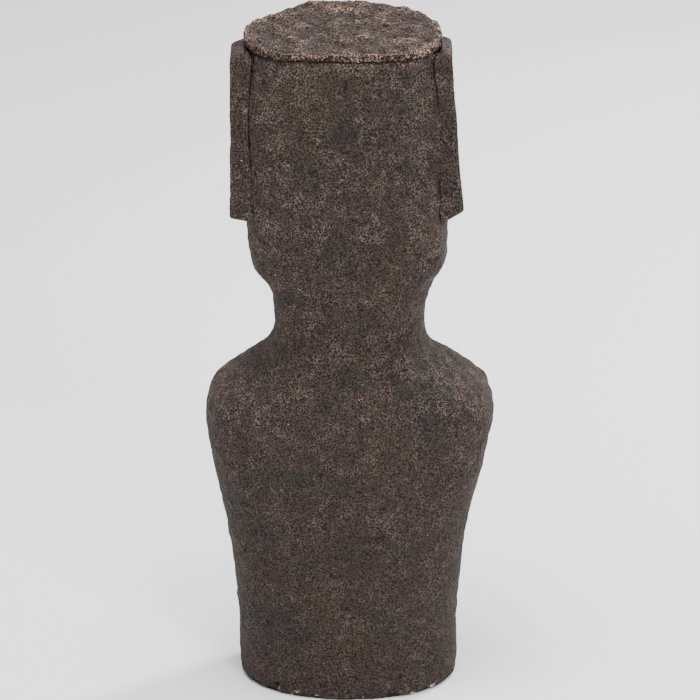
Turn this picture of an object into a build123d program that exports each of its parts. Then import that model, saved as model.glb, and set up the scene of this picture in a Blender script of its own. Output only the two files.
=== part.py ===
from build123d import *
from math import cos, pi, sin, radians
import os

# Frame: Z is up and the floor is z = 0, the face looks along -Y, the figure's own left is +X.
# All sizes are in millimetres.

# Heights, stacked from the floor up
shoulder_height = 336.0
neck_rise = 106.0
jaw_rise = 86.0
head_height = 272.0

# Levels used inside those spans
waist_height = 62.0
belly_height = 150.0
flank_height = 190.0
rib_height = 266.0
cheek_rise = 52.0
brow_rise = 186.0

# Half widths of the skin
base_half_width = 129.0
waist_half_width = 130.0
flank_half_width = 142.0
rib_half_width = 157.5
shoulder_half_width = 167.0
neck_half_width = 87.0
jaw_half_width = 112.5
head_half_width = 115.0
crown_half_width = 109.0
head_lean = 7.0

# Depths of the skin behind the parting plane
base_back_depth = 97.0
waist_back_depth = 97.0
blade_back_depth = 110.0
neck_back_depth = 84.0
jaw_back_depth = 88.0
head_back_depth = 102.0
crown_back_depth = 99.0

# Depths of the skin in front of the parting plane
base_front_depth = 98.0
belly_front_depth = 114.0
chest_front_depth = 106.0
neck_front_depth = 57.0
jaw_front_depth = 97.0
cheek_front_depth = 99.0
brow_front_depth = 107.0
crown_front_depth = 90.0

# Squareness of the outlines: 2 is an ellipse, more is boxier
base_squareness = 2.15
back_squareness = 2.7
nape_squareness = 2.5
head_back_squareness = 4.4
crown_back_squareness = 3.2
chest_squareness = 2.4
face_squareness = 3.0
crown_squareness = 2.0

# Casting
wall = 11.0
core_depth = 75.0
rim_radius = 3.0
crown_fall = 8.0

# Crown cap
cap_thickness = 8.0
cap_overhang = 1.2
spigot_length = 15.0
spigot_clearance = 1.5

# Ears
ear_length = 200.0
ear_width = 66.0
ear_setback = 43.0
ear_top_gap = 2.0
ear_sunk = 6.0
ear_corner = 9.0
left_ear_stand_top = 16.5
left_ear_stand_bottom = 18.5
right_ear_stand_top = 12.5
right_ear_stand_bottom = 18.5
ear_clearance = 0.6
ear_hollow_depth = 5.0
ear_rim = 11.0

# Base plate and its drain hole
plate_thickness = 13.0
plate_recess = 2.0
rebate = 4.5
plate_clearance = 0.6
drain_radius = 13.0

# Glass mat inside the casting
mat_thickness = 2.0
bond_gap = 0.3
mat_seam_gap = 1.0
mat_end_gap = 3.0
strip_width = 50.0
strip_thickness = 4.0

# Face
socket_depth = 80.0
socket_top = 167.0
socket_floor = 84.0
nose_top = 182.0
nose_foot = 60.0
nose_bridge_half_width = 14.0
nose_wing_half_width = 30.0
nose_tip_depth = 127.0
mouth_rise = 31.0
mouth_width = 84.0
mouth_height = 25.0
mouth_depth = 106.0
lip_slit = 3.0

# Arms and hands in low relief
relief = 8.0
relief_start = 28.0
finger_width = 8.6
finger_pitch = 10.6
finger_length = 46.0
hand_height = 104.0
hand_gap = 20.0
navel_height = 172.0
navel_radius = 9.0

outline_points = 24
ear_spans = 6

neck_z = shoulder_height + neck_rise
jaw_z = neck_z + jaw_rise
crown_z = jaw_z + head_height
loft_top = crown_z + 25.0
cap_slope = crown_fall / (crown_front_depth + crown_back_depth)


def along(z, stations):
    """Smooth curve through the stations that never swings past them."""
    if z <= stations[0][0]:
        return stations[0][1]
    if z >= stations[-1][0]:
        return stations[-1][1]
    gaps = [b[0] - a[0] for a, b in zip(stations, stations[1:])]
    rises = [(b[1] - a[1]) / g for a, b, g in zip(stations, stations[1:], gaps)]
    slopes = [0.0]
    for k in range(1, len(rises)):
        before, after = rises[k - 1], rises[k]
        if before * after <= 0:
            slopes.append(0.0)
        else:
            first = 2 * gaps[k] + gaps[k - 1]
            second = gaps[k] + 2 * gaps[k - 1]
            slopes.append((first + second) / (first / before + second / after))
    slopes.append(0.0)
    k = max(i for i in range(len(gaps)) if z >= stations[i][0])
    t = (z - stations[k][0]) / gaps[k]
    low, high = stations[k][1], stations[k + 1][1]
    value = low * (1 + 2 * t) * (1 - t) ** 2 + high * t * t * (3 - 2 * t)
    return value + gaps[k] * (slopes[k] * t * (1 - t) ** 2 - slopes[k + 1] * t * t * (1 - t))


def on_slope(t, share, top, bottom):
    """A station between the shoulders and the neck: share 1 is the shoulder's size."""
    return (shoulder_height + t * neck_rise, bottom + share * (top - bottom))


def under_jaw(t, share, jaw, neck):
    """A station between the neck and the jaw: share 1 is the jaw's size."""
    return (neck_z + t * jaw_rise, neck + share * (jaw - neck))


side_line = [
    (0.0, base_half_width),
    (waist_height, waist_half_width),
    (flank_height, flank_half_width),
    (rib_height, rib_half_width),
    (shoulder_height, shoulder_half_width),
    on_slope(0.30, 0.90, shoulder_half_width, neck_half_width),
    on_slope(0.52, 0.57, shoulder_half_width, neck_half_width),
    on_slope(0.76, 0.10, shoulder_half_width, neck_half_width),
    (neck_z, neck_half_width),
    under_jaw(0.45, 0.07, jaw_half_width, neck_half_width),
    under_jaw(0.62, 0.22, jaw_half_width, neck_half_width),
    under_jaw(0.77, 0.58, jaw_half_width, neck_half_width),
    under_jaw(0.90, 0.90, jaw_half_width, neck_half_width),
    (jaw_z, jaw_half_width),
    (jaw_z + brow_rise, head_half_width),
    (crown_z, crown_half_width),
]
back_line = [
    (0.0, base_back_depth),
    (waist_height, waist_back_depth),
    (shoulder_height, blade_back_depth),
    on_slope(0.35, 0.85, blade_back_depth, neck_back_depth),
    on_slope(0.75, 0.25, blade_back_depth, neck_back_depth),
    (neck_z, neck_back_depth),
    (jaw_z, jaw_back_depth),
    (jaw_z + cheek_rise, (jaw_back_depth + head_back_depth) / 2 + 3.0),
    (jaw_z + brow_rise, head_back_depth),
    (crown_z, crown_back_depth),
]
front_line = [
    (0.0, base_front_depth),
    (belly_height, belly_front_depth),
    (rib_height, chest_front_depth),
    on_slope(0.10, 0.80, chest_front_depth, neck_front_depth),
    on_slope(0.50, 0.35, chest_front_depth, neck_front_depth),
    (neck_z, neck_front_depth),
    under_jaw(0.40, 0.06, jaw_front_depth, neck_front_depth),
    under_jaw(0.72, 0.62, jaw_front_depth, neck_front_depth),
    (jaw_z, jaw_front_depth),
    (jaw_z + 16.0, jaw_front_depth + 6.0),
    (jaw_z + cheek_rise, cheek_front_depth),
    (jaw_z + brow_rise, brow_front_depth),
    (crown_z, crown_front_depth),
]
core_line = front_line[:8] + [
    (jaw_z, jaw_front_depth - 6.0),
    (jaw_z + cheek_rise, core_depth + 4.0),
    (jaw_z + socket_floor, core_depth),
    (crown_z, core_depth),
]
back_shape = [
    (0.0, base_squareness),
    (rib_height, back_squareness),
    (shoulder_height, back_squareness),
    (neck_z, nape_squareness),
    (jaw_z, 3.4),
    (jaw_z + cheek_rise, head_back_squareness),
    (jaw_z + brow_rise, head_back_squareness),
    (crown_z, crown_back_squareness),
]
front_shape = [
    (0.0, base_squareness),
    (belly_height, chest_squareness),
    (shoulder_height, chest_squareness),
    (neck_z, base_squareness),
    (jaw_z, face_squareness),
    (jaw_z + brow_rise, face_squareness),
    (crown_z, crown_squareness),
]


def lean(z):
    """How far the head leans to the figure's left at this height."""
    return along(z, [(neck_z, 0.0), (crown_z, head_lean)])


def pared(z, stations, inset):
    """The curve moved inwards by inset, square to itself rather than level."""
    angles = [radians(a) for a in (-75, -50, -25, 0, 25, 50, 75)]
    return min(along(z + inset * sin(a), stations) - inset * cos(a) for a in angles)


def outline(z, inset, front, swell):
    """Points of one level outline. It starts off the centre line, clear of every cut."""
    half = pared(z, side_line, inset)
    rear = pared(z, back_line, inset)
    fore = pared(z, front, inset) + swell
    points = []
    for k in range(outline_points):
        turn = pi / 2 + 2 * pi * (k - 3) / outline_points
        c, s = cos(turn), sin(turn)
        power = 2.0 / along(z, back_shape if s >= 0 else front_shape)
        x = half * abs(c) ** power * (1 if c >= 0 else -1)
        y = (rear if s >= 0 else -fore) * abs(s) ** power
        points.append((lean(z) + x, y))
    return points


levels = [shoulder_height * t for t in (0.0, 0.06, 0.14, 0.24, 0.36, 0.48, 0.6, 0.7, 0.8, 0.9, 1.0)]
levels += [shoulder_height + neck_rise * t for t in (0.1, 0.2, 0.3, 0.4, 0.5, 0.6, 0.7, 0.8, 0.9, 1.0)]
levels += [neck_z + jaw_rise * t for t in (0.2, 0.36, 0.48, 0.58, 0.68, 0.78, 0.88, 1.0)]
levels += [jaw_z + head_height * t for t in (0.05, 0.11, 0.18, 0.28, 0.4, 0.55, 0.7, 0.82, 0.92, 1.0)]
levels += [loft_top]


def figure(inset, front=front_line, swell=0.0):
    """The whole figure as one solid, with its skin moved in by inset."""
    with BuildPart() as solid:
        for z in levels:
            with BuildSketch(Plane.XY.offset(z)):
                with BuildLine():
                    Spline(*outline(z, inset, front, swell), periodic=True)
                make_face()
        loft(ruled=True)
    return solid.part


def crown_plane(drop):
    """The sloping plane of the crown, moved down by drop."""
    middle = crown_z - cap_slope * crown_front_depth
    return Plane(origin=(0, 0, middle - drop), x_dir=(1, 0, 0), z_dir=(0, cap_slope, 1))


def slab_between(low, high):
    """A wide block from one height to another."""
    with BuildPart() as block:
        with BuildSketch(Plane.XY.offset(low)):
            Rectangle(800, 800)
        extrude(amount=high - low)
    return block.part


outer = figure(0.0)
cavity = figure(wall, core_line)
liner_skin = wall + bond_gap
strip_skin = liner_skin + mat_thickness + bond_gap
liner_outside = figure(liner_skin, core_line)
liner_inside = figure(liner_skin + mat_thickness, core_line)
strip_outside = figure(strip_skin, core_line)
strip_inside = figure(strip_skin + strip_thickness, core_line)
plate_top = plate_recess + plate_thickness
mat_foot = plate_top + mat_end_gap
crown_low = crown_z - crown_fall - cap_thickness - spigot_length
mat_head = crown_low - mat_end_gap - 4.0

# Ears: where the slabs stand on the sides of the head
cap_foot = crown_z - cap_slope * (crown_front_depth + ear_setback + ear_width / 2) - cap_thickness
ear_top = cap_foot - ear_top_gap
ear_foot = ear_top - ear_length
ear_middle = ear_setback


def ear_seat(z, side):
    """The x of the bottom of the ear's recess at this height; side is +1 for the left."""
    return lean(z) + side * (along(z, side_line) - ear_sunk)


def ear_face(z, side, stand_top, stand_foot):
    """The x of the ear's outer face, which runs straight from its foot to its top."""
    foot = lean(ear_foot) + side * (along(ear_foot, side_line) + stand_foot)
    top = lean(ear_top) + side * (along(ear_top, side_line) + stand_top)
    return foot + (top - foot) * (z - ear_foot) / ear_length


def ear_slab(side, stand_top, stand_foot, grow, reach):
    """A slab on the side of the head, grown all round by grow and reaching further out by reach."""
    with BuildPart() as slab:
        for k in range(ear_spans + 1):
            z = ear_foot - grow + (ear_length + 2 * grow) * k / ear_spans
            inner = ear_seat(z, side) - side * grow
            outer = ear_face(z, side, stand_top, stand_foot) + side * reach
            with BuildSketch(Plane.XY.offset(z)):
                with Locations(((inner + outer) / 2, ear_middle)):
                    Rectangle(abs(outer - inner), ear_width + 2 * grow)
        loft(ruled=True)
        ends = slab.edges().filter_by(Axis.X, tolerance=12)
        corners = ends.group_by(Axis.Z)[0] + ends.group_by(Axis.Z)[-1]
        fillet(corners, ear_corner)
    return slab.part


def ear_carving(side, stand_top, stand_foot):
    """The long hollow carved into the outer face of an ear."""
    with BuildPart() as hollow:
        for z in (ear_foot + 2 * ear_rim, ear_top - ear_rim):
            inner = ear_face(z, side, stand_top, stand_foot) - side * ear_hollow_depth
            with BuildSketch(Plane.XY.offset(z)):
                with Locations((inner + side * 10.0, ear_middle)):
                    Rectangle(20.0, ear_width - 2 * ear_rim)
        loft()
        fillet(hollow.edges().filter_by(Axis.X, tolerance=12), ear_corner)
    return hollow.part


left_stands = (left_ear_stand_top, left_ear_stand_bottom)
right_stands = (right_ear_stand_top, right_ear_stand_bottom)
left_slab = ear_slab(1, *left_stands, 0.0, 0.0)
right_slab = ear_slab(-1, *right_stands, 0.0, 0.0)
left_recess = ear_slab(1, *left_stands, ear_clearance, 30.0)
right_recess = ear_slab(-1, *right_stands, ear_clearance, 30.0)
left_carving = ear_carving(1, *left_stands)
right_carving = ear_carving(-1, *right_stands)

with BuildPart() as left_ear:
    add(left_slab)
    add(left_carving, mode=Mode.SUBTRACT)
left_ear.part.label = "left_ear"

with BuildPart() as right_ear:
    add(right_slab)
    add(right_carving, mode=Mode.SUBTRACT)
right_ear.part.label = "right_ear"

# The open casting, before it is parted into two shells
with BuildPart() as foot_opening:
    add(figure(wall - rebate))
    add(slab_between(-1.0, plate_top), mode=Mode.INTERSECT)

with BuildPart() as casting:
    add(outer)
    fillet(casting.edges().group_by(Axis.Z)[0], rim_radius)
    add(cavity, mode=Mode.SUBTRACT)
    add(foot_opening.part, mode=Mode.SUBTRACT)
    add(left_recess, mode=Mode.SUBTRACT)
    add(right_recess, mode=Mode.SUBTRACT)
    split(bisect_by=crown_plane(cap_thickness), keep=Keep.BOTTOM)

with BuildPart() as back_shell:
    add(casting.part)
    split(bisect_by=Plane.XZ, keep=Keep.BOTTOM)
back_shell.part.label = "back_shell"

# Arms, hands and navel, as a slightly deeper figure kept only where they lie
left_points = [
    (200.0, shoulder_height + 90.0),
    (121.0, shoulder_height + 90.0),
    (117.0, shoulder_height),
    (108.0, rib_height),
    (99.0, flank_height + 10.0),
    (88.0, hand_height + 62.0),
    (62.0, hand_height + 34.0),
    (44.0, hand_height + 27.0),
    (44.0, hand_height - 27.0),
    (78.0, hand_height - 27.0),
    (112.0, hand_height - 14.0),
    (200.0, hand_height + 6.0),
]
right_points = [(-x, z) for x, z in reversed(left_points)]

with BuildPart() as arm_field:
    with BuildSketch(Plane.XZ.offset(relief_start)) as arm_sketch:
        with BuildLine():
            Polyline(*left_points, close=True)
        make_face()
        with BuildLine():
            Polyline(*right_points, close=True)
        make_face()
        with Locations((0, navel_height)):
            Circle(navel_radius)
        with Locations((0, navel_height)):
            Circle(navel_radius / 2.5, mode=Mode.SUBTRACT)
    extrude(amount=220)
    with BuildSketch(Plane.XZ.offset(relief_start)) as finger_sketch:
        for side in (-1, 1):
            for k in range(5):
                reach = finger_length - 3.0 * abs(k - 1.7)
                x = side * (hand_gap / 2 + 44.0 - reach / 2)
                with Locations(Location((x, hand_height + finger_pitch * (2 - k), 0))):
                    RectangleRounded(reach, finger_width, finger_width / 2 - 0.1)
    extrude(amount=220)

with BuildPart() as arms:
    add(figure(0.0, swell=relief))
    add(arm_field.part, mode=Mode.INTERSECT)
    add(figure(4.0), mode=Mode.SUBTRACT)

# The hollow under the brow, the nose and the mouth
socket_top_z = jaw_z + socket_top
with BuildPart() as sockets:
    with BuildSketch(Plane.YZ.offset(-200)):
        with BuildLine():
            Polyline(
                (-180.0, socket_top_z + 6.0),
                (-socket_depth, socket_top_z),
                (-socket_depth - 3.0, socket_top_z - 30.0),
                (-socket_depth - 26.0, jaw_z + socket_floor),
                (-180.0, jaw_z + socket_floor - 20.0),
                close=True,
            )
        make_face()
    extrude(amount=400)

nose_levels = (
    (nose_top, nose_bridge_half_width + 3.0, brow_front_depth - 3.0),
    (nose_top - 22.0, nose_bridge_half_width, brow_front_depth),
    (nose_foot + 50.0, nose_bridge_half_width + 5.0, nose_tip_depth - 8.0),
    (nose_foot + 20.0, nose_wing_half_width - 3.0, nose_tip_depth),
    (nose_foot + 8.0, nose_wing_half_width, nose_tip_depth - 1.0),
    (nose_foot, nose_wing_half_width - 5.0, nose_tip_depth - 10.0),
)
with BuildPart() as nose:
    for rise, half, depth in nose_levels:
        with BuildSketch(Plane.XY.offset(jaw_z + rise)):
            with Locations((lean(jaw_z + rise), -(depth + core_depth) / 2)):
                RectangleRounded(2 * half, depth - core_depth, half * 0.55)
    loft(ruled=True)

mouth_z = jaw_z + mouth_rise
mouth_root = core_depth + 9.0
with BuildPart() as mouth:
    with Locations((lean(mouth_z), -(mouth_depth + mouth_root) / 2, mouth_z)):
        Box(mouth_width, mouth_depth - mouth_root, mouth_height)
    fillet(mouth.edges().filter_by(Axis.Y), mouth_height / 2.6)
    with Locations((lean(mouth_z), -mouth_depth, mouth_z)):
        Box(mouth_width - 10.0, 5.0, lip_slit, mode=Mode.SUBTRACT)

with BuildPart() as front_shell:
    add(casting.part)
    split(bisect_by=Plane.XZ, keep=Keep.TOP)
    add(sockets.part, mode=Mode.SUBTRACT)
    add(nose.part)
    add(mouth.part)
    add(arms.part)
front_shell.part.label = "front_shell"

# Crown cap with a spigot that drops into the open head
with BuildPart() as spigot:
    add(figure(wall + spigot_clearance, core_line))
    split(bisect_by=crown_plane(cap_thickness + spigot_length), keep=Keep.TOP)
    split(bisect_by=crown_plane(cap_thickness / 2), keep=Keep.BOTTOM)

with BuildPart() as crown_cap:
    add(figure(-cap_overhang))
    split(bisect_by=crown_plane(cap_thickness), keep=Keep.TOP)
    split(bisect_by=crown_plane(0.0), keep=Keep.BOTTOM)
    add(spigot.part)
crown_cap.part.label = "crown_cap"

# Base plate, let into the foot of the shells
with BuildPart() as base_plate:
    add(figure(wall - rebate + plate_clearance))
    add(slab_between(plate_recess, plate_top), mode=Mode.INTERSECT)
    with Locations((0, 0, plate_top / 2)):
        Cylinder(drain_radius, 2 * plate_top, mode=Mode.SUBTRACT)
base_plate.part.label = "base_plate"

# Glass mat against the inside of each shell
with BuildPart() as liner:
    add(liner_outside)
    add(liner_inside, mode=Mode.SUBTRACT)
    add(slab_between(mat_foot, mat_head), mode=Mode.INTERSECT)

with BuildPart() as back_mat_liner:
    add(liner.part)
    split(bisect_by=Plane.XZ.offset(-mat_seam_gap / 2), keep=Keep.BOTTOM)
back_mat_liner.part.label = "back_mat_liner"

with BuildPart() as front_mat_liner:
    add(liner.part)
    split(bisect_by=Plane.XZ.offset(mat_seam_gap / 2), keep=Keep.TOP)
front_mat_liner.part.label = "front_mat_liner"

# Strips of mat that bond the two shells from the inside
with BuildPart() as strips:
    add(strip_outside)
    add(strip_inside, mode=Mode.SUBTRACT)
    with Locations((0, 0, (mat_foot + mat_head) / 2)):
        Box(800, strip_width, mat_head - mat_foot, mode=Mode.INTERSECT)

with BuildPart() as left_seam_strip:
    add(strips.part)
    split(bisect_by=Plane.YZ, keep=Keep.TOP)
left_seam_strip.part.label = "left_seam_strip"

with BuildPart() as right_seam_strip:
    add(strips.part)
    split(bisect_by=Plane.YZ, keep=Keep.BOTTOM)
right_seam_strip.part.label = "right_seam_strip"

os.makedirs("parts", exist_ok=True)
export_step(back_shell.part, "parts/back_shell.step")
export_step(front_shell.part, "parts/front_shell.step")
export_step(crown_cap.part, "parts/crown_cap.step")
export_step(left_ear.part, "parts/left_ear.step")
export_step(right_ear.part, "parts/right_ear.step")
export_step(base_plate.part, "parts/base_plate.step")
export_step(back_mat_liner.part, "parts/back_mat_liner.step")
export_step(front_mat_liner.part, "parts/front_mat_liner.step")
export_step(left_seam_strip.part, "parts/left_seam_strip.step")
export_step(right_seam_strip.part, "parts/right_seam_strip.step")
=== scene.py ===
import math

import bpy
import numpy as np
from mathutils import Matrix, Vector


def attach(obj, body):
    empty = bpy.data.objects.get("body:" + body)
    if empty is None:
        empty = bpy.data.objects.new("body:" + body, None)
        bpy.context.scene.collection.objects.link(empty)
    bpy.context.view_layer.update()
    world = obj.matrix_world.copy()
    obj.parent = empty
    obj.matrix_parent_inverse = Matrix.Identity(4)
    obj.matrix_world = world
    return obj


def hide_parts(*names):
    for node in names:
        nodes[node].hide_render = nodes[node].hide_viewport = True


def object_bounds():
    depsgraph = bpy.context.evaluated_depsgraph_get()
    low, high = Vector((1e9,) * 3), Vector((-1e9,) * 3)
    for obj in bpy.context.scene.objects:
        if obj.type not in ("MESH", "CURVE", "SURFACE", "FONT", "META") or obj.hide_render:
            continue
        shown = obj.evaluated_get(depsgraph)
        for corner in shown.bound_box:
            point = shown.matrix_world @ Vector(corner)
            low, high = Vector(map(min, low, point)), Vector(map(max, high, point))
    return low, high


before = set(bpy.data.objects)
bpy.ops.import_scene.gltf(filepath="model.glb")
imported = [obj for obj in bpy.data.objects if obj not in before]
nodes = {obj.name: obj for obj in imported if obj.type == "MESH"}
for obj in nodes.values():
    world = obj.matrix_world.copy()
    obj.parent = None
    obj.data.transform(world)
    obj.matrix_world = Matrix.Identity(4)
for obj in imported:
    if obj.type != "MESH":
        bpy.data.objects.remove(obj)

import openvdb as vdb
from mathutils import Vector

cad_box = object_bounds()

# Shapes are worked out in mm, in the frame's axes: X to the figure's left, Y to its back, Z up.
MM = 1000.0
TOP = round(cad_box[1][2] * MM)
JAW_Z = 442.0                   # the head leans from here up
HEAD_LEAN = 7.0                 # how far the crown's middle stands off the axis, towards +X
CROWN_SLOPE = 8.0 / 189.0       # the crown falls towards the back
CROWN_FRONT = -90.0
HEAD_OPEN_Z = 752.0             # above here the shells are an open tube
FOOT_OPEN_Z = 8.0               # and below here too
SIDES = (-1, 1)                 # the figure's right and left

SKIN_CELL = 2.35                # the shells' mesh
FINE_CELL = 1.25                # the cap's and the ears' mesh
BAND = 6                        # cells of true distance on either side of a surface
SKIN_MARGIN = (19, 23, 16)      # room for the skin outside the CAD shells
PIECE_MARGIN = (16, 16, 16)
HOLLOW_STEP = 3                 # the hollow's mesh is coarser by this
BOX_REACH = 400                 # half size of the boxes that part the shells


# ---------------------------------------------------------------- small maths
def step(a, b, v):
    """0 below a, 1 above b, and a smooth rise between."""
    t = np.clip((v - a) / (b - a), 0, 1)
    return t * t * (3 - 2 * t)


def between(z, a, b, c, d):
    """Rises from a to b, stays at 1, and falls from c to d."""
    return step(a, b, z) * (1 - step(c, d, z))


def lean(z):
    return HEAD_LEAN * step(JAW_Z, TOP, z)


def hashed(ix, iy, iz, seed):
    """A repeatable number from 0 to 1 for each lattice point."""
    h = (ix * 374761393 + iy * 668265263 + iz * 1440662683 + seed * 1274126177) & 0xFFFFFFFF
    h = ((h ^ (h >> 13)) * 1274126177) & 0xFFFFFFFF
    h = ((h ^ (h >> 15)) * 668265263) & 0xFFFFFFFF
    return ((h ^ (h >> 16)) & 0xFFFFFF) / float(0xFFFFFF)


def noise(p, size, seed):
    """Smooth lattice noise, -1 to 1, with features about size mm across."""
    q = p / size
    base = np.floor(q).astype(np.int64)
    f = q - base
    f = f * f * f * (f * (f * 6 - 15) + 10)
    total = np.zeros(len(p))
    for dx, dy, dz in np.ndindex(2, 2, 2):
        wx = f[:, 0] if dx else 1 - f[:, 0]
        wy = f[:, 1] if dy else 1 - f[:, 1]
        wz = f[:, 2] if dz else 1 - f[:, 2]
        h = hashed(base[:, 0] + dx, base[:, 1] + dy, base[:, 2] + dz, seed)
        total += wx * wy * wz * (2 * h - 1)
    return total


def cells(p, size, seed):
    """Distance to the nearest scattered point, in units of size, and that point's own number."""
    q = p / size
    base = np.floor(q).astype(np.int64)
    best = np.full(len(p), 9.0)
    which = np.zeros(len(p))
    for corner in np.ndindex(3, 3, 3):
        c = base + np.array(corner) - 1
        o = np.stack([hashed(c[:, 0], c[:, 1], c[:, 2], seed + k) for k in (1, 2, 3)], 1)
        d = np.linalg.norm(c + o - q, axis=1)
        near = d < best
        best = np.where(near, d, best)
        which = np.where(near, hashed(c[:, 0], c[:, 1], c[:, 2], seed + 7), which)
    return best, which


# ------------------------------------------------------- solids as fields of distance
def cad_triangles(names):
    points, tris, n = [], [], 0
    for name in names:
        mesh = nodes[name].data
        mesh.calc_loop_triangles()
        co = np.zeros(len(mesh.vertices) * 3, np.float32)
        mesh.vertices.foreach_get("co", co)
        tri = np.zeros(len(mesh.loop_triangles) * 3, np.int32)
        mesh.loop_triangles.foreach_get("vertices", tri)
        points.append(co.reshape(-1, 3) * MM)
        tris.append(tri.reshape(-1, 3) + n)
        n += len(mesh.vertices)
    return np.concatenate(points).astype(np.float32), np.concatenate(tris).astype(np.uint32)


class Field:
    """Signed distance on a grid, in mm, negative inside."""

    def __init__(self, names, cell, margin):
        points, tris = cad_triangles(names)
        self.cell = cell
        self.low = np.floor((points.min(0) - margin) / cell).astype(int)
        self.high = np.ceil((points.max(0) + margin) / cell).astype(int)
        self.far = BAND * cell
        self.transform = vdb.createLinearTransform(voxelSize=cell)
        grid = vdb.FloatGrid.createLevelSetFromPolygons(
            points, triangles=tris, transform=self.transform, halfWidth=float(BAND)
        )
        self.d = np.full(tuple(self.high - self.low), self.far, np.float32)
        grid.copyToArray(self.d, ijk=tuple(int(v) for v in self.low))

    def copy(self):
        other = object.__new__(Field)
        other.__dict__.update(self.__dict__)
        other.d = self.d.copy()
        return other

    def filled(self):
        """True everywhere between the first and the last solid cell along Y."""
        solid = self.d < 0
        ahead = np.maximum.accumulate(solid, axis=1)
        behind = np.maximum.accumulate(solid[:, ::-1], axis=1)[:, ::-1]
        return ahead & behind

    def soften(self, sigma):
        """Blurs the field by that many cells."""
        reach = int(math.ceil(2.5 * sigma))
        w = np.exp(-0.5 * (np.arange(-reach, reach + 1) / sigma) ** 2)
        w /= w.sum()
        for axis in range(3):
            total = np.zeros_like(self.d)
            for k, share in zip(range(-reach, reach + 1), w):
                total += np.float32(share) * np.roll(self.d, k, axis)
            self.d = total

    def blend(self, shape, width, sign):
        """Adds the shape where sign is 1 and takes it away where sign is -1, blended over width."""
        distance, low, high = shape
        reach = 2 * width + HEAD_LEAN
        first = np.floor((low - reach) / self.cell).astype(int) - self.low
        last = np.ceil((high + reach) / self.cell).astype(int) - self.low + 1
        cut = tuple(slice(max(a, 0), min(b, n)) for a, b, n in zip(first, last, self.d.shape))
        axes = [(np.arange(s.start, s.stop) + k) * self.cell for s, k in zip(cut, self.low)]
        x, y, z = np.meshgrid(*axes, indexing="ij", sparse=True)
        a, b = sign * self.d[cut], distance(x, y, z)
        h = np.clip(0.5 + 0.5 * (a - b) / width, 0, 1)
        self.d[cut] = sign * (a * (1 - h) + b * h - width * h * (1 - h))

    def grow(self, shape, width):
        self.blend(shape, width, 1)

    def carve(self, shape, width):
        self.blend(shape, width, -1)

    def sample(self, points):
        """The field's value at each point, in mm."""
        q = points / self.cell - self.low
        base = np.clip(np.floor(q).astype(np.int64), 0, np.array(self.d.shape) - 2)
        f = np.clip(q - base, 0, 1)
        total = np.zeros(len(points))
        for dx, dy, dz in np.ndindex(2, 2, 2):
            share = np.abs(1 - dx - f[:, 0]) * np.abs(1 - dy - f[:, 1]) * np.abs(1 - dz - f[:, 2])
            total += share * self.d[base[:, 0] + dx, base[:, 1] + dy, base[:, 2] + dz]
        return total

    def coarser(self, times):
        """Every so many cells of this field, as a field that starts at its own origin."""
        other = self.copy()
        other.d = np.ascontiguousarray(self.d[::times, ::times, ::times])
        other.low = self.low // times
        other.cell = self.cell * times
        other.transform = vdb.createLinearTransform(voxelSize=other.cell)
        return other, (self.low - other.low * times) * self.cell

    def mesh(self):
        grid = vdb.FloatGrid(self.far)
        grid.transform = self.transform
        grid.gridClass = vdb.GridClass.LEVEL_SET
        grid.copyFromArray(np.clip(self.d, -self.far, self.far), ijk=tuple(int(v) for v in self.low))
        points, quads = grid.convertToQuads(isovalue=0.0)
        return points.astype(np.float64), quads.astype(np.int64)[:, ::-1]


def ellipsoid(centre, radii):
    """A stretched ball that leans with the head: its distance and the box it fills."""
    c, r = np.array(centre, float), np.array(radii, float)

    def distance(x, y, z):
        a = ((x - c[0] - lean(z)) / r[0]) ** 2 + ((y - c[1]) / r[1]) ** 2 + ((z - c[2]) / r[2]) ** 2
        return (np.sqrt(a) - 1.0) * r.min()

    return distance, c - r, c + r


def capsule(a, b, ra, rb):
    """A round-ended bar from a to b that leans with the head: its distance and the box it fills."""
    a, b = np.array(a, float), np.array(b, float)
    ab = b - a
    length = float(ab @ ab)

    def distance(x, y, z):
        px, py, pz = x - lean(z) - a[0], y - a[1], z - a[2]
        t = np.clip((px * ab[0] + py * ab[1] + pz * ab[2]) / length, 0, 1)
        away = np.sqrt((px - t * ab[0]) ** 2 + (py - t * ab[1]) ** 2 + (pz - t * ab[2]) ** 2)
        return away - (ra + (rb - ra) * t)

    return distance, np.minimum(a - ra, b - rb), np.maximum(a + ra, b + rb)


# ------------------------------------------------------------------- mesh helpers
def make_object(name, points, quads):
    mesh = bpy.data.meshes.new(name)
    n = len(quads)
    mesh.vertices.add(len(points))
    mesh.vertices.foreach_set("co", (points / MM).astype(np.float32).ravel())
    mesh.loops.add(n * 4)
    mesh.loops.foreach_set("vertex_index", quads.astype(np.int32).ravel())
    mesh.polygons.add(n)
    mesh.polygons.foreach_set("loop_start", np.arange(0, n * 4, 4, dtype=np.int32))
    mesh.update(calc_edges=True)
    mesh.validate()
    obj = bpy.data.objects.new(name, mesh)
    bpy.context.scene.collection.objects.link(obj)
    return obj


def box_object(name, low, high):
    xs, ys, zs = zip(low, high)
    points = np.array([[x, y, z] for x in xs for y in ys for z in zs], float)
    quads = np.array([[0, 1, 3, 2], [4, 6, 7, 5], [0, 4, 5, 1], [2, 3, 7, 6], [0, 2, 6, 4], [1, 5, 7, 3]])
    return make_object(name, points, quads)


def set_relief(obj, height):
    """How far each vertex stands out, in mm. The paint is lighter on the high places, as dry-brushing and
    as painted highlight, and darker in the low places, as painted shade.
    """
    layer = obj.data.attributes.new("relief", "FLOAT", "POINT")
    layer.data.foreach_set("value", height.astype(np.float32))


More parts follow.
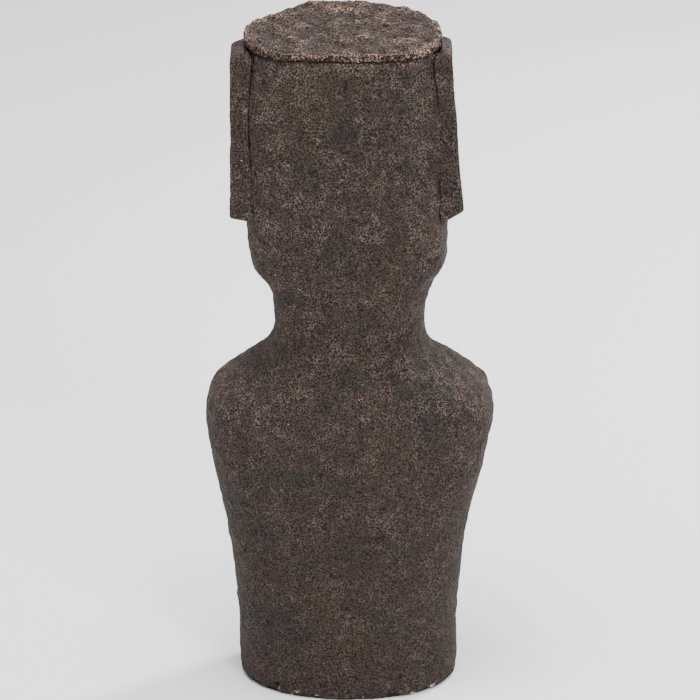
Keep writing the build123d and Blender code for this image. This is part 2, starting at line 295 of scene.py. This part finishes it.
def normals_of(points, quads):
    a, b = points[quads[:, 2]] - points[quads[:, 0]], points[quads[:, 3]] - points[quads[:, 1]]
    face = np.cross(a, b)
    out = np.zeros_like(points)
    for k in range(4):
        np.add.at(out, quads[:, k], face)
    return out / np.maximum(np.linalg.norm(out, axis=1, keepdims=True), 1e-9)


def relax(points, quads):
    """Evens out the mesh, each vertex moving halfway to the middle of its neighbours, twice."""
    for _ in range(2):
        total = np.zeros_like(points)
        count = np.zeros(len(points))
        for k in range(4):
            a, b = quads[:, k], quads[:, (k + 1) % 4]
            np.add.at(total, a, points[b])
            np.add.at(total, b, points[a])
            np.add.at(count, a, 1)
            np.add.at(count, b, 1)
        points = points + 0.5 * (total / count[:, None] - points)
    return points


def cut_with(obj, cutter, operation):
    m = obj.modifiers.new("cut", "BOOLEAN")
    m.object = cutter
    m.operation = operation
    m.solver = "MANIFOLD"
    graph = bpy.context.evaluated_depsgraph_get()
    mesh = bpy.data.meshes.new_from_object(obj.evaluated_get(graph))
    old = obj.data
    obj.modifiers.clear()
    obj.data = mesh
    bpy.data.meshes.remove(old)


# ------------------------------------------------------------ the face and the body
def brow_and_eye(skin, s):
    """One side's flat temple, heavy brow, deep socket and closed eye."""
    skin.carve(ellipsoid((s * 114, -122, 612), (42, 42, 100)), 26)
    skin.grow(capsule((s * 4, -104, 708), (s * 84, -88, 700), 15, 12), 7)
    skin.carve(ellipsoid((s * 50, -119, 673), (36, 40, 25)), 5)
    skin.grow(ellipsoid((s * 49, -84, 668), (21, 13, 9)), 3)


def nose_wing(skin, s):
    """One side's wing, nostril and the fold beside the mouth."""
    skin.grow(ellipsoid((s * 21, -111, 600), (14, 19, 13)), 4)
    skin.carve(ellipsoid((s * 12, -121, 586), (7, 11, 7)), 2)
    skin.carve(capsule((s * 41, -108, 616), (s * 60, -102, 560), 6, 5), 7)


def half_mouth(skin, s):
    """One side's upper lip, lower lip and the slit between them."""
    skin.grow(capsule((0, -108, 568), (s * 39, -101, 563), 8, 5), 3)
    skin.grow(capsule((0, -107, 550), (s * 36, -100, 553), 8, 5.5), 3)
    skin.carve(capsule((0, -119, 559), (s * 43, -108, 557.5), 4.4, 3.4), 1.5)


def face(skin):
    for s in SIDES:
        brow_and_eye(skin, s)
        nose_wing(skin, s)
    skin.grow(capsule((0, -105, 704), (0, -119, 610), 11, 15), 6)       # the bridge of the nose
    for s in SIDES:
        half_mouth(skin, s)
    skin.carve(capsule((-30, -116, 541), (30, -116, 541), 6, 6), 5)     # the dip under the lip
    skin.grow(ellipsoid((0, -92, 531), (66, 24, 12)), 7)                # the chin


def chest(skin, s):
    """One side's collar groove, the groove under the breast, and its nipple."""
    skin.carve(capsule((s * 8, -93, 358), (s * 100, -64, 382), 6, 5), 8)
    skin.carve(capsule((s * 14, -109, 262), (s * 92, -95, 280), 6, 5), 10)
    skin.grow(ellipsoid((s * 54, -99, 306), (11, 10, 10)), 4)


def arm(skin, s):
    """One arm, laid along the side and across the belly, with a groove on either side of it."""
    skin.grow(capsule((s * 139, -54, 340), (s * 122, -60, 190), 23, 18), 4)
    skin.grow(capsule((s * 120, -64, 176), (s * 60, -103, 116), 18, 13), 4)
    skin.carve(capsule((s * 109, -89, 326), (s * 97, -93, 196), 8, 7), 3)
    skin.carve(capsule((s * 92, -96, 182), (s * 62, -109, 152), 6, 5), 4)
    skin.carve(capsule((s * 114, -78, 143), (s * 62, -105, 82), 7, 6), 4)


def hand(skin, s):
    """Four long fingers, the second one longest, and the thumb above them."""
    for k in range(4):
        z = 130 - 11 * k
        tip = 8 + 3.5 * abs(k - 1.3)
        skin.grow(capsule((s * 60, -106, z - 3), (s * tip, -112, z), 6, 5), 2)
        skin.carve(capsule((s * 54, -112, z - 8), (s * 10, -116, z - 5.5), 2.2, 2.2), 1.5)
    skin.grow(capsule((s * 60, -106, 134), (s * 32, -110, 150), 6, 5), 1.5)


def body(skin):
    for s in SIDES:
        chest(skin, s)
        arm(skin, s)
        hand(skin, s)
    skin.carve(ellipsoid((0, -114, 182), (14, 8, 14)), 4)               # the navel's ring
    skin.grow(ellipsoid((0, -109, 182), (8, 6, 8)), 2)


# ------------------------------------------------------------------ the cast surface
def grain(p, seed):
    """How far each point of the cast surface stands out, in mm: broad swells, then the fine part."""
    broad = 1.25 * noise(p, 96.0, seed + 1) + 0.75 * noise(p, 41.0, seed + 2)
    broad += 0.45 * noise(p, 19.0, seed + 3)
    fine = 0.62 * noise(p, 9.5, seed + 4) + 0.50 * noise(p, 5.4, seed + 5)
    # smears drawn down the figure
    smear = np.stack([p[:, 0] + 0.35 * p[:, 2], p[:, 1], 0.28 * p[:, 2] - 0.2 * p[:, 0]], 1)
    fine += 0.5 * (1 - 2 * np.abs(noise(smear, 15.0, seed + 6))) * step(-0.3, 0.4, noise(p, 60.0, seed + 9))
    # small pits, more of them in worn places
    d, which = cells(p, 13.0, seed + 20)
    worn = step(-0.1, 0.5, noise(p, 70.0, seed + 8))
    fine -= 1.7 * (which < 0.24 + 0.3 * worn) * (1 - step(0.10, 0.26, d))
    # a few deep pits, and a few lumps
    d, which = cells(p, 31.0, seed + 40)
    fine -= 2.0 * (which < 0.18) * (1 - step(0.03, 0.17, d))
    fine += 1.3 * (which > 0.86) * (1 - step(0.05, 0.22, d))
    return broad, fine


def uneven(points):
    """Small sideways faults of the casting, in mm."""
    x, y, z = points.T
    right, left = step(40, 110, -x), step(40, 110, x)
    flank = 3.2 * between(z, 20, 70, 220, 275)
    shoulder = 2.8 * between(z, 300, 330, 352, 375)
    jaw = 4.0 * between(z, 468, 484, 492, 508)
    slope = 2.2 * between(z, 368, 384, 390, 408)
    moved = points.copy()
    moved[:, 0] += right * (flank - shoulder - jaw) - left * slope
    moved[:, 1] += 2.0 * step(30, 80, y) * (1 - step(0, 45, z))
    return moved


def finish_skin(points, quads, seed):
    """The skin's points with their grain and faults, and the fine part's height."""
    normals = normals_of(points, quads)
    broad, fine = grain(points, seed)
    z = points[:, 2]
    # the foot: chipped, flaking edge
    edge = (1 - step(2.0, 11.0, z)) * step(0.3, 0.9, np.hypot(points[:, 0], points[:, 1]) / 120.0)
    fine -= 3.2 * np.clip(noise(points, 13.0, seed + 60) + 0.25, 0, 1) * edge
    # the underside, and the top of the shell under the cap, stay flat
    flat = step(0.6, 0.9, np.abs(normals[:, 2])) * ((z < 3) | (z > 760))
    moved = uneven(points + normals * ((broad + fine) * (1 - flat))[:, None])
    moved[:, 2] = np.maximum(moved[:, 2], 0.0)
    return moved, fine


def shade_swell_at(softened, points, level):
    """How much each point bulges out or dips in, in mm, with the nearly flat places at zero. The paint
    turns it into painted highlight on the bulges and painted shade in the dips.
    """
    s = softened.sample(points) - level
    return np.clip(np.sign(s) * np.maximum(np.abs(s) - 0.4, 0.0), -3.5, 2.0)


# ------------------------------------------------------------------------ the shells
def skin_and_hollow():
    """The shells as one solid without its hollow, and the hollow as a solid of its own."""
    skin = Field(("back_shell", "front_shell"), SKIN_CELL, SKIN_MARGIN)
    inside = skin.filled()
    hollow = skin.copy()
    hollow.d = np.where(inside, -skin.d, skin.far).astype(np.float32)
    skin.d = np.where(inside & (skin.d > 0), -skin.far, skin.d)
    # the hollow runs on through the open head and the open foot
    head = round(HEAD_OPEN_Z / SKIN_CELL) - hollow.low[2]
    foot = round(FOOT_OPEN_Z / SKIN_CELL) - hollow.low[2]
    hollow.d[:, :, head:] = hollow.d[:, :, head:head + 1]
    hollow.d[:, :, :foot] = hollow.d[:, :, foot:foot + 1]
    return skin, hollow


def cast_shells(seed):
    """The two shells, parted at Y = 0, with the carved and pitted skin outside."""
    skin, hollow = skin_and_hollow()
    skin.soften(0.9)
    face(skin)
    body(skin)
    bulge = skin.copy()
    bulge.soften(3.0)

    points, quads = skin.mesh()
    points = relax(points, quads)
    # the carved shape's bulges and dips, which the paint turns into painted highlight and painted shade
    shade_swell = shade_swell_at(bulge, points, 0.3)
    points, fine = finish_skin(points, quads, seed)
    skin_solid = make_object("skin_solid", points, quads)
    set_relief(skin_solid, fine + 1.2 * shade_swell)

    coarse, shift = hollow.coarser(HOLLOW_STEP)
    points, quads = coarse.mesh()
    hollow_solid = make_object("hollow_solid", points + shift, quads)
    low, high = -BOX_REACH, BOX_REACH
    back_box = box_object("back_box", (low, 0, -100), (high, high, TOP + 200))
    front_box = box_object("front_box", (low, low, -100), (high, 0, TOP + 200))

    shells = []
    for name, keep in (("back_shell", back_box), ("front_shell", front_box)):
        piece = skin_solid.copy()
        piece.data = skin_solid.data.copy()
        piece.name = name + "_cast"
        bpy.context.scene.collection.objects.link(piece)
        cut_with(piece, hollow_solid, "DIFFERENCE")
        cut_with(piece, keep, "INTERSECT")
        shells.append(piece)
    for spare in (skin_solid, hollow_solid, front_box, back_box):
        bpy.data.objects.remove(spare)
    return shells


# ------------------------------------------------------------------ cap and ears
def small_piece(name, soft, seed, shape_it):
    """One piece's skin. shape_it moves the points it is given, and returns height and relief."""
    field = Field((name,), FINE_CELL, PIECE_MARGIN)
    field.soften(soft)
    points, quads = field.mesh()
    points = relax(points, quads)
    normals = normals_of(points, quads)
    field.soften(3.0)
    # the piece's bulges and dips, which the paint turns into painted highlight and painted shade
    shade_swell = shade_swell_at(field, points, 0.1)
    height, fine = shape_it(points, normals, seed)
    obj = make_object(name + "_cast", points + normals * height[:, None], quads)
    set_relief(obj, fine + shade_swell)
    return obj


def rough_crown(p, n, seed):
    """The crown's lumps, its worn front-left corner, and the lip that laps over the joint."""
    up = p[:, 2] - (TOP - CROWN_SLOPE * (p[:, 1] - CROWN_FRONT))
    rim = step(-9.5, -7.0, up)
    lumps = 1.9 * noise(p, 17.0, seed + 1) + 1.3 * noise(p, 9.0, seed + 2)
    lumps += 0.8 * noise(p, 4.6, seed + 3) + 0.5 * noise(p, 2.9, seed + 9)
    d, which = cells(p, 10.0, seed + 5)
    lumps -= 1.6 * (which < 0.4) * (1 - step(0.1, 0.3, d))
    side = 1 - np.abs(n[:, 2])
    lumps = lumps * (1 - 0.25 * side) + 0.7 * side
    worn = 5.2 * step(45, 100, p[:, 0]) * (1 - step(-50, 20, p[:, 1]))
    worn -= 1.8 * (1 - step(-75, -45, p[:, 1])) * (1 - step(35, 70, np.abs(p[:, 0])))
    p[:, 2] -= worn * np.clip((up + 8.0) / 8.0, 0, 1)
    # the lip spreads a little towards the ears
    lip = (1 - step(-7.5, -4.5, up)) * rim * step(0.3, 0.7, side)
    p[:, 2] -= 1.7 * lip
    across = np.abs(p[:, 0] - lean(p[:, 2]))
    lumps += 2.0 * step(98, 107, across) * (1 - step(82, 95, p[:, 1])) * step(0, 12, p[:, 1]) * side
    bright = 1.6 * lip * (1 - step(-10, 30, p[:, 0]))
    return rim * lumps - (1 - rim) * 0.5, 0.5 * lumps + bright


def ear_surface(side, drop, top, low_slope):
    """An ear's grain, its sloping ends, and the cement that beds its back edge on the head."""

    def shape_it(p, n, seed):
        broad, fine = grain(p, seed)
        out = side * (p[:, 0] - lean(p[:, 2]))
        rise = step(109.6, 111.6, out) * (top - drop * (out - 111.0))
        low = 3.0 + low_slope * np.clip((out - 110.0) / 20.0, 0, 1)
        bed = 2.8 * step(62.0, 75.0, p[:, 1]) * step(0.4, 0.9, -side * n[:, 0])
        p[:, 2] += rise * step(750.0, 783.0, p[:, 2]) + low * (1 - step(583.0, 650.0, p[:, 2]))
        return 0.5 * broad + 0.7 * fine + bed, fine

    return shape_it


# -------------------------------------------------------------------- materials
class Nodes:
    """A material with one Principled shader, and short calls for the nodes that feed it."""

    def __init__(self, name):
        self.material = bpy.data.materials.new(name)
        self.material.use_nodes = True
        self.tree = self.material.node_tree
        self.tree.nodes.clear()
        self.out = self.tree.nodes.new("ShaderNodeOutputMaterial")
        self.shader = self.tree.nodes.new("ShaderNodeBsdfPrincipled")
        self.tree.links.new(self.shader.outputs[0], self.out.inputs[0])
        self.where = self.tree.nodes.new("ShaderNodeTexCoord").outputs["Object"]

    def link(self, value, socket):
        if isinstance(value, (int, float)):
            socket.default_value = value
        elif isinstance(value, tuple):
            socket.default_value = value if len(value) == len(socket.default_value) else (*value, 1.0)
        else:
            self.tree.links.new(value, socket)

    def noise(self, scale, detail, rough=0.55, distortion=0.0, where=None):
        n = self.tree.nodes.new("ShaderNodeTexNoise")
        self.link(where or self.where, n.inputs["Vector"])
        n.inputs["Scale"].default_value = scale
        n.inputs["Detail"].default_value = detail
        n.inputs["Roughness"].default_value = rough
        n.inputs["Distortion"].default_value = distortion
        return n.outputs["Fac"]

    def voronoi(self, scale):
        n = self.tree.nodes.new("ShaderNodeTexVoronoi")
        self.link(self.where, n.inputs["Vector"])
        n.inputs["Scale"].default_value = scale
        return n.outputs["Distance"]

    def stretched(self, sx, sy, sz, turn):
        n = self.tree.nodes.new("ShaderNodeMapping")
        self.link(self.where, n.inputs["Vector"])
        n.inputs["Scale"].default_value = (sx, sy, sz)
        n.inputs["Rotation"].default_value = (0.0, turn, 0.0)
        return n.outputs[0]

    def remap(self, value, a, b, c=0.0, d=1.0):
        """c where the value is a, d where it is b, and a smooth change between."""
        n = self.tree.nodes.new("ShaderNodeMapRange")
        n.interpolation_type = "SMOOTHSTEP"
        self.link(value, n.inputs["Value"])
        for key, v in zip(("From Min", "From Max", "To Min", "To Max"), (a, b, c, d)):
            n.inputs[key].default_value = v
        return n.outputs["Result"]

    def math(self, how, a, b, clamp=False):
        n = self.tree.nodes.new("ShaderNodeMath")
        n.operation = how
        n.use_clamp = clamp
        self.link(a, n.inputs[0])
        self.link(b, n.inputs[1])
        return n.outputs[0]

    def add(self, a, b):
        return self.math("ADD", a, b)

    def multiply(self, a, b, clamp=False):
        return self.math("MULTIPLY", a, b, clamp)

    def mix(self, share, a, b):
        n = self.tree.nodes.new("ShaderNodeMix")
        n.data_type = "RGBA"
        self.link(share, n.inputs[0])
        self.link(a, n.inputs[6])
        self.link(b, n.inputs[7])
        return n.outputs[2]

    def relief(self):
        n = self.tree.nodes.new("ShaderNodeAttribute")
        n.attribute_name = "relief"
        return n.outputs["Fac"]

    def normal(self):
        return self.tree.nodes.new("ShaderNodeNewGeometry").outputs["Normal"]

    def upright(self, value):
        """The Z part of a position or a direction."""
        n = self.tree.nodes.new("ShaderNodeSeparateXYZ")
        self.link(value, n.inputs[0])
        return n.outputs[2]

    def bump(self, height, distance, strength):
        n = self.tree.nodes.new("ShaderNodeBump")
        self.link(height, n.inputs["Height"])
        n.inputs["Distance"].default_value = distance
        n.inputs["Strength"].default_value = strength
        return n.outputs[0]

    def set(self, **values):
        for key, value in values.items():
            self.link(value, self.shader.inputs[key.replace("_", " ")])


def times(colour, share):
    return tuple(c * share for c in colour)


def bare_chips(m, colour, patch):
    """Bare casting where the paint has flaked off the bearing edge, and in a few nicks above it."""
    edge = m.remap(m.upright(m.where), 0.011, 0.002)
    flake = m.remap(m.noise(85.0, 4.0, 0.6), 0.62, 0.65)
    colour = m.mix(m.multiply(edge, flake, True), colour, (0.50, 0.44, 0.37))
    nick = m.multiply(m.remap(m.voronoi(48.0), 0.060, 0.035), m.remap(patch, 0.52, 0.56))
    return m.mix(m.multiply(nick, 0.8), colour, (0.42, 0.37, 0.31))


def painted(name, red, olive, grey, tan, grain_scale, contrast, painted_top_light, chips):
    """Dark brown paint, dry-brushed lighter on the high grains, over a pitted casting, with painted
    highlight on faces turned up and on bulges, and painted shade in the low places.
    """
    m = Nodes(name)
    broad = m.noise(7.0, 3.0)
    patch = m.noise(19.0, 4.0, 0.6)
    olive_patch = m.noise(15.0, 4.0, 0.6, 0.0, m.stretched(1.0, 1.0, 0.6, 0.2))
    fine = m.noise(grain_scale, 2.0, 0.5, 0.6)
    finer = m.noise(900.0, 2.0, 0.6)
    tint = m.noise(260.0, 2.0, 0.5)
    medium = m.noise(110.0, 4.0, 0.65)
    sparse = m.noise(45.0, 3.0, 0.6)
    streak = m.noise(70.0, 5.0, 0.65, 0.4, m.stretched(1.0, 1.0, 0.12, 0.12))
    relief = m.relief()

    # the base coat, in broad patches and streaks
    colour = m.mix(m.remap(broad, 0.42, 0.60), red, times(red, 1.12))
    colour = m.mix(m.multiply(m.remap(olive_patch, 0.51, 0.62), 0.8), colour, olive)
    colour = m.mix(m.multiply(m.remap(patch, 0.49, 0.36), 0.8), colour, grey)
    colour = m.mix(m.multiply(m.remap(streak, 0.52, 0.68), 0.3), colour, times(olive, 1.3))
    colour = m.mix(m.multiply(m.remap(medium, 0.50, 0.32), 0.45), colour, times(grey, 0.55))
    # the grain: dark hollows, then bright tops of several tints, more of them higher up the figure, on
    # ridges and on faces turned up; on ridges and faces turned up the bright tops are painted highlight
    colour = m.mix(m.multiply(m.remap(fine, 0.53, 0.41), contrast), colour, times(red, 0.10))
    colour = m.mix(m.multiply(m.remap(finer, 0.48, 0.36), contrast * 0.6), colour, times(grey, 0.25))
    # faces turned up get more bright grain: painted highlight from the light above
    lit_from_above = m.remap(m.upright(m.normal()), 0.15, 0.85)
    raised = m.remap(m.upright(m.where), 0.16, 0.40, 0.62, 1.0)
    amount = m.multiply(m.remap(sparse, 0.38, 0.60, 0.25, 1.0), m.add(m.remap(relief, -0.5, 1.3), 0.25))
    amount = m.multiply(amount, m.math("MAXIMUM", raised, lit_from_above))
    # a further share of painted highlight on every face turned up
    amount = m.add(amount, m.multiply(lit_from_above, painted_top_light))
    tops = m.math("MAXIMUM", m.remap(fine, 0.535, 0.60), m.multiply(m.remap(finer, 0.55, 0.66), 0.6))
    bright = m.mix(m.remap(tint, 0.44, 0.56), tan, (tan[0] * 0.82, tan[1] * 0.86, tan[2] * 0.80))
    colour = m.mix(m.multiply(m.multiply(tops, amount), 0.85, True), colour, bright)
    # pits, and painted shade in the low places: the cast's pits and the carved hollows
    pit = m.multiply(m.remap(m.voronoi(170.0), 0.24, 0.12), m.remap(sparse, 0.50, 0.57))
    colour = m.mix(m.multiply(pit, 0.9), colour, times(red, 0.08))
    colour = m.mix(m.multiply(m.remap(relief, -0.6, -2.4), 0.85), colour, times(red, 0.14))
    if chips:
        colour = bare_chips(m, colour, patch)

    m.set(Base_Color=colour, Roughness=m.remap(medium, 0.3, 0.7, 0.70, 0.90), Specular_IOR_Level=0.18)
    height = m.add(fine, m.multiply(finer, 0.35))
    height = m.add(height, m.multiply(medium, 1.2))
    height = m.add(height, m.multiply(streak, 0.4))
    height = m.math("SUBTRACT", height, m.multiply(pit, 0.8))
    m.set(Normal=m.bump(height, 0.003, 0.9))
    return m.material


def bare_cement(name):
    m = Nodes(name)
    tone = m.mix(m.remap(m.noise(30.0, 5.0), 0.3, 0.7), (0.46, 0.43, 0.38), (0.58, 0.55, 0.50))
    tone = m.mix(m.remap(m.noise(420.0, 3.0, 0.7), 0.55, 0.7), tone, (0.34, 0.31, 0.27))
    m.set(Base_Color=tone, Roughness=0.9, Specular_IOR_Level=0.2)
    m.set(Normal=m.bump(m.noise(260.0, 5.0, 0.7), 0.001, 0.7))
    return m.material


def glass_mat(name):
    m = Nodes(name)
    strands = m.noise(120.0, 6.0, 0.75, 1.5, m.stretched(1.0, 1.0, 0.15, 0.7))
    cross = m.noise(120.0, 6.0, 0.75, 1.5, m.stretched(0.15, 0.15, 1.0, -0.6))
    lay = m.math("MAXIMUM", strands, cross)
    m.set(Base_Color=m.mix(m.remap(lay, 0.5, 0.75), (0.50, 0.47, 0.40), (0.72, 0.70, 0.64)))
    m.set(Roughness=0.55, Normal=m.bump(lay, 0.001, 0.8))
    return m.material


# ------------------------------------------------------------------------ the pieces
back_cast, front_cast = cast_shells(seed=11)
cap = small_piece("crown_cap", 1.0, 101, rough_crown)
left_ear = small_piece("left_ear", 1.3, 201, ear_surface(1.0, drop=0.4, top=5.5, low_slope=4.0))
right_ear = small_piece("right_ear", 1.3, 301, ear_surface(-1.0, drop=0.25, top=7.5, low_slope=12.0))

paint = painted(
    "painted_casting", red=(0.051, 0.0345, 0.0305), olive=(0.055, 0.0395, 0.0280),
    grey=(0.034, 0.0310, 0.0285), tan=(0.190, 0.136, 0.110),
    grain_scale=580.0, contrast=0.95, painted_top_light=0.06, chips=True,
)
crown = painted(
    "rough_crown", red=(0.0275, 0.0170, 0.0140), olive=(0.033, 0.0215, 0.0160),
    grey=(0.0215, 0.0168, 0.0145), tan=(0.37, 0.232, 0.182),
    grain_scale=470.0, contrast=1.0, painted_top_light=0.08, chips=False,
)
cement = bare_cement("bare_cement")
mat = glass_mat("glass_mat")


def dress(obj, material, slot):
    obj.data.materials.clear()
    obj.data.materials.append(material)


for obj, node, material, slot in (
    (back_cast, "back_shell", paint, "painted_casting"),
    (front_cast, "front_shell", paint, "painted_casting"),
    (cap, "crown_cap", crown, "rough_crown"),
    (left_ear, "left_ear", paint, "painted_casting"),
    (right_ear, "right_ear", paint, "painted_casting"),
):
    count = len(obj.data.polygons)
    dress(obj, material, slot)
    obj.data.polygons.foreach_set("material_index", [0] * count)
    obj.data.polygons.foreach_set("use_smooth", [True] * count)
    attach(obj, "root")
    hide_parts(node)

for node, material, slot in (
    ("base_plate", cement, "bare_cement"),
    ("back_mat_liner", mat, "glass_mat"),
    ("front_mat_liner", mat, "glass_mat"),
    ("left_seam_strip", mat, "glass_mat"),
    ("right_seam_strip", mat, "glass_mat"),
):
    dress(nodes[node], material, slot)


# -------------------------------------------------------------- floor, light, camera
FLOOR_HALF = 30.0           # from here on in metres
FLOOR_Z = -0.0004
AIM_Z = 0.4045              # the camera's aim, half way up the figure
DISTANCE = 4.8
ELEVATION = math.radians(21.0)
SENSOR = 36.0               # mm
LENS = 211.8857             # mm


def link_object(name, data, where):
    obj = bpy.data.objects.new(name, data)
    obj.location = where
    bpy.context.scene.collection.objects.link(obj)
    return obj


def look_at(obj, target):
    obj.rotation_euler = (Vector(target) - obj.location).to_track_quat("-Z", "Y").to_euler()


def area_light(name, where, aim_z, side, power):
    data = bpy.data.lights.new(name, "AREA")
    data.shape = "RECTANGLE"
    data.size = side
    data.size_y = side
    data.energy = power
    look_at(link_object(name, data, where), (0, 0, aim_z))


floor_mesh = bpy.data.meshes.new("floor")
corners = [(x * FLOOR_HALF, y * FLOOR_HALF, 0) for x, y in ((-1, -1), (1, -1), (1, 1), (-1, 1))]
floor_mesh.from_pydata(corners, [], [(0, 1, 2, 3)])
floor = link_object("floor", floor_mesh, (0, 0, FLOOR_Z))
floor_paint = Nodes("floor")
floor_paint.set(Base_Color=(0.88, 0.88, 0.88), Roughness=0.9, Specular_IOR_Level=0.1)
floor_mesh.materials.append(floor_paint.material)

world = bpy.data.worlds.new("studio")
bpy.context.scene.world = world
world.use_nodes = True
world.node_tree.nodes["Background"].inputs["Color"].default_value = (1.0, 1.0, 1.0, 1.0)
world.node_tree.nodes["Background"].inputs["Strength"].default_value = 0.9

area_light("top", (0.3, 0.5, 3.3), 0.4, 1.4, 103.0)
area_light("back", (-1.3, 2.9, 2.5), 0.45, 0.9, 72.0)
area_light("front", (-1.9, -2.2, 2.8), 0.45, 0.6, 170.0)

camera_data = bpy.data.cameras.new("camera")
camera_data.sensor_width = SENSOR
camera_data.lens = LENS
camera_data.clip_end = 100.0
target = Vector((-0.0012, 0.0, AIM_Z))
behind = Vector((0, DISTANCE * math.cos(ELEVATION), DISTANCE * math.sin(ELEVATION)))
camera = link_object("camera", camera_data, target + behind)
look_at(camera, target)
bpy.context.scene.camera = camera

bpy.context.view_layer.update()
